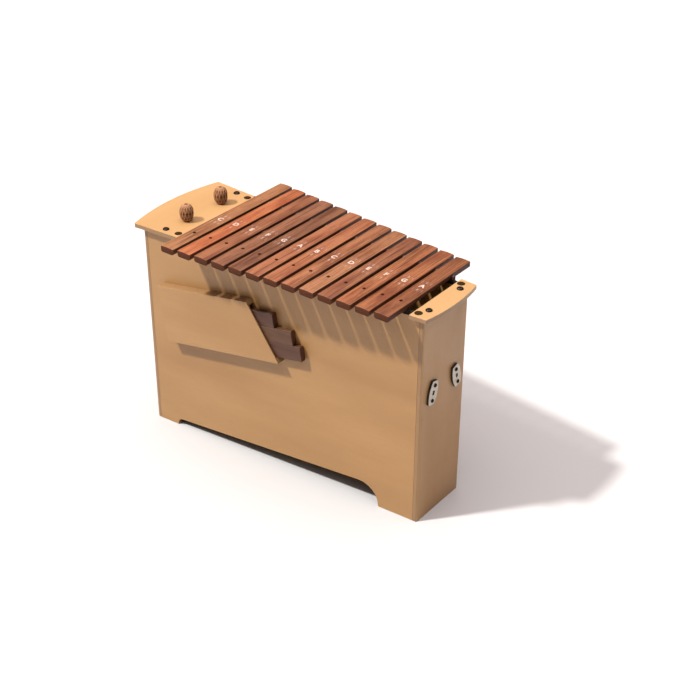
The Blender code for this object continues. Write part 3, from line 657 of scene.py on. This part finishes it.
def build_fasteners():
    """The screws and plugs in the cover plates."""
    screw_colours = (paint(36, 20, 12), paint(58, 38, 28))
    plug_colours = (paint(54, 38, 16), paint(72, 54, 30))
    black = painted("black_screw", *screw_colours, 0.16, grit=900.0, bump=0.02, shine=0.16)
    rubber = painted("black_plug", *plug_colours, 0.75, grit=1600.0, bump=0.15, shine=0.06)
    for end in ("bass", "treble"):
        for side in ("front", "rear"):
            build_screw(f"{end}_cover_screw_{side}", black, "Z", *COVER_SCREW)
            build_plug(f"{end}_cover_plug_{side}", rubber)


# ---- Pins and felts ----------------------------------------------------------------


def pin_tops(node):
    """Centre of each pin's top, in order along X."""
    _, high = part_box(node)
    tops = [v.co for v in frame["nodes"][node].data.vertices if v.co.z > high.z - PIN_TOP_DEPTH]
    pins = []
    for top in sorted(tops, key=lambda corner: corner.x):
        if not pins or top.x - pins[-1][-1].x > PIN_GAP:
            pins.append([])
        pins[-1].append(top)
    return [sum(corners, Vector()) / len(corners) for corners in pins]


def pin_shape(top, foot):
    """A pin with a rounded top, from the height of its foot."""
    length = top.z - foot
    profile = [(0.0, 0.0), (PIN_R, 0.0), (PIN_R, length - PIN_TOP_R)]
    for k in range(1, PIN_TOP_STEPS + 1):
        angle = math.pi / 2 * k / PIN_TOP_STEPS
        profile.append((PIN_R * math.cos(angle), length - PIN_TOP_R * (1 - math.sin(angle))))
    profile[-1] = (0.0, length)
    return turned(profile, PIN_SIDES, (top.x, top.y, foot))


def sleeve_shape(top, foot):
    """A sleeve round a pin, from the height of its foot, with its outer rim eased."""
    height = top.z - SLEEVE_BELOW_PIN - foot
    profile = [(SLEEVE_BORE_R, 0.0), (SLEEVE_R, 0.0)]
    profile += [(SLEEVE_R - inwards, height - down) for inwards, down in SLEEVE_RIM]
    profile += [(SLEEVE_BORE_R, height), (SLEEVE_BORE_R, 0.0)]
    return turned(profile, PIN_SIDES, (top.x, top.y, foot))


def pin_strip(node):
    """The strip of a row, with its pins taken off and their holes closed."""
    low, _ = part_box(node)
    strip = whole_faces(node)
    above = [v for v in strip.verts if v.co.z > low.z + STRIP_TOP]
    bmesh.ops.delete(strip, geom=above, context="VERTS")
    bmesh.ops.holes_fill(strip, edges=[e for e in strip.edges if e.is_boundary])
    return strip


def build_pins_and_felts():
    """Both rows of pins with their felts, and sleeves on the rear pins."""
    steel = painted("pin_steel_worn", paint(104, 98, 92), paint(150, 146, 140), 0.38, 1.0, 1200.0, 0.03)
    rubber = painted("sleeve_rubber", paint(50, 28, 20), paint(76, 46, 34), 0.80, 0.0, 1400.0, 0.15)
    felt = fibrous("dark_felt_fibres", paint(30, 26, 22), paint(52, 46, 40), 2600.0)
    for row in ("front", "rear"):
        node, felt_node = f"{row}_pin_row", f"{row}_felt"
        low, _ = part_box(node)
        tops = pin_tops(node)
        shapes = [pin_shape(top, low.z) for top in tops]
        shapes.append(pin_strip(node))
        piece(f"{node}_finished", merged(shapes), steel, node)
        eased_piece(felt_node, SMALL_EASE, felt)
        if row == "rear":
            _, felt_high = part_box(felt_node)
            sleeves = [sleeve_shape(top, felt_high.z) for top in tops]
            piece("rear_pin_sleeves", merged(sleeves), rubber, node, ())


# ---- Tone bars ---------------------------------------------------------------------


def crown_drop(x, half):
    """How far the top of a bar lies below its middle line, at x from it."""
    return BAR_CROWN * (x / half) ** 2


def bar_outline(half, height, lift, inset):
    """Cross-section, anticlockwise from the lower left, as (x, z) points."""
    half = half - inset
    low = lift + inset
    shoulder = height - BAR_CROWN - inset
    points = []
    for k in range(CORNER_STEPS + 1):
        angle = math.pi * 1.5 + math.pi / 2 * k / CORNER_STEPS
        x = half - BAR_LOWER_R + BAR_LOWER_R * math.cos(angle)
        points.append((x, low + BAR_LOWER_R * (1 + math.sin(angle))))
    for k in range(CORNER_STEPS + 1):
        angle = math.pi / 2 * k / CORNER_STEPS
        x = half - BAR_UPPER_R + BAR_UPPER_R * math.cos(angle)
        points.append((x, shoulder - BAR_UPPER_R * BAR_UPPER_DROP * (1 - math.sin(angle))))
    mirrored = [(-x, z) for x, z in reversed(points)]
    inner = half - BAR_UPPER_R
    for k in range(1, TOP_STEPS):
        share = 1 - 2 * k / TOP_STEPS
        points.append((inner * share, shoulder + BAR_CROWN * (1 - share * share)))
    return points + mirrored


def bar_mesh(length, half, height, hollow):
    """Bar along Y about its own middle, underside at z = 0."""
    reach = length / 2 * HOLLOW_SHARE
    ends = []
    for k in range(END_STEPS + 1):
        angle = math.pi / 2 * k / END_STEPS
        inset = BAR_END_R * (1 - math.sin(angle)) * BAR_END_INSET
        ends.append((-length / 2 + BAR_END_R * (1 - math.cos(angle)), inset))
    over = reach * HOLLOW_OVER
    stations = ends + [(over * (2 * k / HOLLOW_STEPS - 1), 0.0) for k in range(HOLLOW_STEPS + 1)]
    stations += [(-y, inset) for y, inset in reversed(ends)]
    shape = bmesh.new()
    layer = shape.faces.layers.float.new("eased")
    rings = []
    for y, inset in stations:
        share = min(1.0, abs(y) / reach)
        lift = hollow * (1 - share * share)
        rings.append([shape.verts.new((x, y, z)) for x, z in bar_outline(half, height, lift, inset)])
    count = len(rings[0])
    corner = CORNER_STEPS + 1
    starts = (0, corner, count - 2 * corner, count - corner)
    rounded = {start + k for start in starts for k in range(CORNER_STEPS)}
    for number, (first, second) in enumerate(zip(rings, rings[1:])):
        at_end = number < END_STEPS or number >= len(rings) - 1 - END_STEPS
        for i in range(count):
            j = (i + 1) % count
            face = shape.faces.new((first[i], second[i], second[j], first[j]))
            face[layer] = 1.0 if i in rounded or at_end else 0.0
    shape.faces.new(rings[0])
    shape.faces.new(list(reversed(rings[-1])))
    bmesh.ops.recalc_face_normals(shape, faces=shape.faces)
    return shape


def hole_place(node, centre_x):
    """Where the pin hole is along a bar, from the rim of the hole in its node."""
    rim = []
    for vertex in frame["nodes"][node].data.vertices:
        off = abs(vertex.co.x - centre_x)
        if RIM_MARGIN < off < HOLE_R + RIM_MARGIN:
            rim.append(vertex.co.y)
    return (min(rim) + max(rim)) / 2


def hollow_depth(node, length):
    """Depth of the hollow under a bar at its middle."""
    low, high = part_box(node)
    centre_y = (low.y + high.y) / 2
    corners = [v.co for v in frame["nodes"][node].data.vertices]
    near = [corner.z for corner in corners if abs(corner.y - centre_y) < length * MIDDLE_SHARE]
    return min(near) - low.z


def hole_cutter(height):
    """Cutter for a pin hole through a bar of this height, with its upper rim sunk."""
    profile = [
        (0.0, -CUT_UNDER),
        (HOLE_R, -CUT_UNDER),
        (HOLE_R, height - HOLE_SINK_DEPTH),
        (HOLE_SINK_R, height + SINK_OVER),
        (HOLE_SINK_R, height + CUT_OVER),
        (0.0, height + CUT_OVER),
    ]
    return turned(profile, HOLE_SIDES, (0.0, 0.0, 0.0))


def letter_shape(letter):
    """A flat printed letter about its own middle, in the XY plane."""
    curve = bpy.data.curves.new("letter", "FONT")
    curve.body = letter
    curve.size = LETTER_SIZE
    curve.offset = LETTER_BOLD
    curve.align_x = "CENTER"
    curve.align_y = "CENTER"
    holder = add_object("letter", curve)
    graph = bpy.context.evaluated_depsgraph_get()
    graph.update()
    mesh = bpy.data.meshes.new_from_object(holder.evaluated_get(graph))
    bpy.data.objects.remove(holder)
    shape = bmesh.new()
    shape.from_mesh(mesh)
    bpy.data.meshes.remove(mesh)
    return shape


def stave_shape():
    """Five fine lines with one round note on them."""
    shape = bmesh.new()
    for line in range(STAVE_LINES):
        y = (line - (STAVE_LINES - 1) / 2) * STAVE_STEP
        half, width = STAVE_LENGTH / 2, STAVE_LINE_WIDTH / 2
        corners = ((-half, y - width), (half, y - width), (half, y + width), (-half, y + width))
        shape.faces.new([shape.verts.new((u, v, 0.0)) for u, v in corners])
    ring = []
    for k in range(NOTE_SIDES):
        angle = math.tau * k / NOTE_SIDES
        spot = (NOTE_HEAD[0] * math.cos(angle), NOTE_HEAD[1] * math.sin(angle), 0.0)
        ring.append(shape.verts.new(spot))
    shape.faces.new(ring)
    return shape


def lay_on_bar(shape, centre, half, top):
    """Moves flat print onto the crowned top of a bar."""
    bmesh.ops.triangulate(shape, faces=shape.faces)
    bmesh.ops.subdivide_edges(shape, edges=shape.edges, cuts=1)
    for vertex in shape.verts:
        x = vertex.co.x
        height = top - crown_drop(x, half - BAR_UPPER_R) + PRINT_PROUD
        vertex.co = (centre[0] + x, centre[1] + vertex.co.y, height)
    for face in shape.faces:
        if face.normal.z < 0:
            face.normal_flip()


def build_tone_bars():
    """The bars, drilled for their front pins, with their printed marks."""
    ink = painted("white_print", PRINT, paint(206, 192, 184), 0.55, 0.0, 900.0, 0.05)
    for place, note in enumerate(NOTES):
        node = f"tone_bar_{note}"
        low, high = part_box(node)
        half = (high.x - low.x) / 2
        length = high.y - low.y
        centre = Vector(((low.x + high.x) / 2, (low.y + high.y) / 2, low.z))
        look = rosewood(f"rosewood_{note}", *BAR_FACES[place], seed=place + 1)
        shape = bar_mesh(length, half, high.z - low.z, hollow_depth(node, length))
        bmesh.ops.translate(shape, verts=shape.verts, vec=centre)
        made = piece(f"{node}_finished", shape, look, node)

        hole_y = hole_place(node, centre.x)
        cutter = hole_cutter(high.z - low.z)
        bmesh.ops.translate(cutter, verts=cutter.verts, vec=(centre.x, hole_y, low.z))
        drilled(made, cutter)

        share = place / (len(NOTES) - 1)
        mark_y = hole_y + MARK_FROM_HOLE_LOW + (MARK_FROM_HOLE_HIGH - MARK_FROM_HOLE_LOW) * share
        marks = []
        letter = letter_shape(note[0].upper())
        lay_on_bar(letter, (centre.x, mark_y), half, high.z)
        marks.append(letter)
        for away in (-STAVE_FROM_LETTER, STAVE_FROM_LETTER):
            stave = stave_shape()
            lay_on_bar(stave, (centre.x, mark_y + away), half, high.z)
            marks.append(stave)
        piece(f"note_mark_{note}", merged(marks), ink, node, ())


def build_spare_bars():
    """The spare bars keep their nodes' shape, tilted in the pocket, with eased edges."""
    for number, node in enumerate(SPARES):
        look = Look(f"spare_wood_{number + 1}")
        face, deep = SPARE_FACES[number]
        shift = (number * 2.3, number * 0.7, number * 1.1)
        cloud = look.noise(1.0, look.stretched((3.4, 46.0, 46.0), shift), 4.0, 0.6)
        tone = look.mix(look.ramp(cloud, 0.34, 0.7), paint(*face), paint(*deep))
        streaks = look.noise(1.0, look.stretched((5.0, 240.0, 240.0), shift), 3.0, 0.65)
        tone = look.mix(look.maths("MULTIPLY", look.ramp(streaks, 0.55, 0.75), 0.5), tone, BAR_GRAIN_AND_SHADE)
        ends = look.ramp(look.facing(SPARE_ALONG), 0.55, 0.75)
        tone = look.mix(ends, tone, BAR_END)
        tone = look.mix(look.maths("MULTIPLY", look.eased(), 0.3), tone, paint(*face))
        wood = look.finish(tone, look.ramp(cloud, -1.0, 1.6), streaks, 0.2, 0.0003)
        eased_piece(node, SPARE_EASE, wood)


# ---- Mallets -----------------------------------------------------------------------


def head_point(along, around, radius, half_height):
    """A point on a mallet head; along runs from 0 at the base to pi at the top."""
    power = HEAD_LOWER_POWER if along < math.pi / 2 else HEAD_UPPER_POWER
    out = radius * max(0.0, math.sin(along)) ** power
    return Vector((out * math.cos(around), out * math.sin(around), -half_height * math.cos(along)))


def yarn_points(centre, radius, half_height, tilt, phase):
    """One long strand wound over the head, its plane turning a little with each turn."""
    points = []
    count = YARN_TURNS * YARN_POINTS_PER_TURN
    for k in range(count):
        around = math.tau * k / YARN_POINTS_PER_TURN
        turn = math.tau * k / count + phase
        flat = Vector((math.cos(around), math.sin(around), 0.0))
        on_ball = Matrix.Rotation(turn, 3, "Z") @ Matrix.Rotation(tilt, 3, "X") @ flat
        along = math.acos(max(-1.0, min(1.0, -on_ball.z)))
        lift = 1.0 + YARN_WAVE * math.sin(around * 3 + turn * 5)
        spot = head_point(along, math.atan2(on_ball.y, on_ball.x), radius * lift, half_height)
        points.append(centre + spot)
    return points


def build_mallets():
    """Shafts, cores and heads, each head wound with two strands over a body painted dark as the shade
    between them.
    """
    yarns = (
        fibrous("brown_yarn_pale", paint(156, 104, 68), paint(232, 186, 148), 620.0),
        fibrous("brown_yarn_deep", paint(124, 76, 42), paint(184, 128, 84), 900.0),
    )
    # the body under the strands is painted darker than the yarn, as the shade in the gaps between the
    # strands
    under = fibrous("yarn_under_with_gap_shade", paint(86, 50, 28), paint(120, 78, 48), 2000.0)
    shaft_look = beech("mallet_shaft_beech")
    rubber = painted("mallet_core_black", paint(40, 40, 40), paint(66, 66, 66), 0.7)
    for side in ("front", "rear"):
        node = f"mallet_winding_{side}"
        low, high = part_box(node)
        centre = (low + high) / 2
        radius = (high.x - low.x) / 2 - YARN_R * STRAND_DEPTH
        half_height = (high.z - low.z) / 2 - YARN_R * STRAND_DEPTH
        profile = [(0.0, -half_height)]
        for k in range(1, HEAD_STEPS):
            along = math.pi * k / HEAD_STEPS
            spot = head_point(along, 0.0, radius - YARN_R * UNDER_DEPTH, half_height)
            profile.append((spot.x, spot.z))
        profile.append((0.0, half_height))
        body = turned(profile, HEAD_SIDES, centre)
        piece(f"{node}_under", body, under, node)
        for number, (tilt, yarn) in enumerate(zip(YARN_TILTS, yarns)):
            curve = bpy.data.curves.new(f"mallet_yarn_{side}_{number + 1}", "CURVE")
            curve.dimensions = "3D"
            curve.bevel_depth = YARN_R
            curve.bevel_resolution = YARN_SIDES
            spline = curve.splines.new("POLY")
            inside = 1.0 - YARN_NESTING * number
            phase = YARN_PHASE * number
            points = yarn_points(centre, radius * inside, half_height * inside, tilt, phase)
            spline.points.add(len(points) - 1)
            for target, point in zip(spline.points, points):
                target.co = (*point, 1.0)
            strand = add_object(f"mallet_yarn_{side}_{number + 1}", curve)
            curve.materials.append(yarn)
            settle(strand, node, ())
        eased_piece(f"mallet_shaft_{side}", SMALL_EASE, shaft_look)
        eased_piece(f"mallet_core_{side}", SMALL_EASE, rubber)


# ---- Coupling plates ---------------------------------------------------------------


def build_couplings():
    """The two coupling plates on the treble end, with their spacers and screws."""
    black = painted("black_spacer", paint(30, 28, 26), paint(56, 52, 48), 0.5)
    plate_colours = (paint(226, 214, 196), paint(240, 230, 214))
    # the plate's edges and the walls of its slot are painted near black, as shade
    pale = painted("pale_plate", *plate_colours, 0.30, 0.0, 500.0, 0.03, rim_shade=(18, 14, 10))
    screw_colours = (paint(30, 17, 12), paint(54, 38, 30))
    steel = painted("small_black_screw", *screw_colours, 0.16, grit=900.0, bump=0.02, shine=0.2)
    for side in ("front", "rear"):
        eased_piece(f"coupling_spacer_{side}", SMALL_EASE, black)
        eased_piece(f"coupling_plate_{side}", SMALL_EASE, pale)
        for level in ("upper", "lower"):
            build_screw(f"coupling_screw_{side}_{level}", steel, "X", *COUPLING_SCREW)


# ---- Stage, light and camera -------------------------------------------------------


def build_floor():
    shape = bmesh.new()
    bmesh.ops.create_grid(shape, x_segments=1, y_segments=1, size=FLOOR_SIZE / 2)
    floor = add_object("studio_floor", as_mesh("studio_floor", shape))
    look = Look("studio_floor_paper", 0.9)
    look.shader.inputs["Specular IOR Level"].default_value = 0.0
    look.shader.inputs["Base Color"].default_value = FLOOR_COLOUR
    floor.data.materials.append(look.material)
    floor.location.z = -FLOOR_DROP


def build_sun():
    sun = bpy.data.lights.new("key_light", "SUN")
    sun.energy = SUN_STRENGTH
    sun.angle = SUN_SOFTNESS
    sun.color = SUN_COLOUR
    holder = add_object("key_light", sun)
    holder.rotation_euler = Vector(SUN_TRAVEL).to_track_quat("-Z", "Y").to_euler()


def build_world():
    """A sky that is brightest overhead, with a narrow pale band at the horizon."""
    world = bpy.data.worlds.new("studio")
    world.use_nodes = True
    nodes, links = world.node_tree.nodes, world.node_tree.links
    sky = nodes["Background"]
    sky.inputs["Color"].default_value = (*SKY_COLOUR, 1.0)

    def maths(operation, *values):
        made = nodes.new("ShaderNodeMath")
        made.operation = operation
        for socket, value in zip(made.inputs, values):
            if isinstance(value, bpy.types.NodeSocket):
                links.new(value, socket)
            else:
                socket.default_value = value
        return made.outputs["Value"]

    direction = nodes.new("ShaderNodeTexCoord").outputs["Generated"]
    split = nodes.new("ShaderNodeSeparateXYZ")
    links.new(direction, split.inputs["Vector"])
    height = nodes.new("ShaderNodeMapRange")
    links.new(split.outputs["Z"], height.inputs["Value"])
    upwards = height.outputs["Result"]
    overhead = maths("MULTIPLY", maths("POWER", upwards, SKY_FALL_OFF), SKY_OVERHEAD)
    downwards = maths("SUBTRACT", 1.0, upwards)
    band = maths("MULTIPLY", maths("POWER", downwards, BAND_FALL_OFF), SKY_AT_HORIZON)
    links.new(maths("ADD", overhead, band), sky.inputs["Strength"])
    bpy.context.scene.world = world
    bpy.context.scene.view_settings.view_transform = "Standard"


def build_camera():
    """The camera that the proportions were taken with."""
    yaw, pitch, roll = CAMERA_YAW, CAMERA_PITCH, CAMERA_ROLL
    level = math.cos(pitch)
    forward = Vector((-math.sin(yaw) * level, math.cos(yaw) * level, -math.sin(pitch)))
    level_right = Vector((math.cos(yaw), math.sin(yaw), 0.0))
    level_up = level_right.cross(forward)
    right = level_right * math.cos(roll) + level_up * math.sin(roll)
    up = level_up * math.cos(roll) - level_right * math.sin(roll)
    turn = Matrix((right, up, -forward)).transposed().to_4x4()
    data = bpy.data.cameras.new("photo_view")
    data.lens = CAMERA_LENS
    data.sensor_width = CAMERA_SENSOR
    camera = add_object("photo_view", data)
    camera.matrix_world = Matrix.Translation(CAMERA_PLACE) @ turn
    bpy.context.scene.camera = camera


# ---- The whole scene ---------------------------------------------------------------

build_camera()
build_floor()
build_sun()
build_world()
build_case()
build_fasteners()
build_pins_and_felts()
build_tone_bars()
build_spare_bars()
build_mallets()
build_couplings()

bpy.context.view_layer.update()
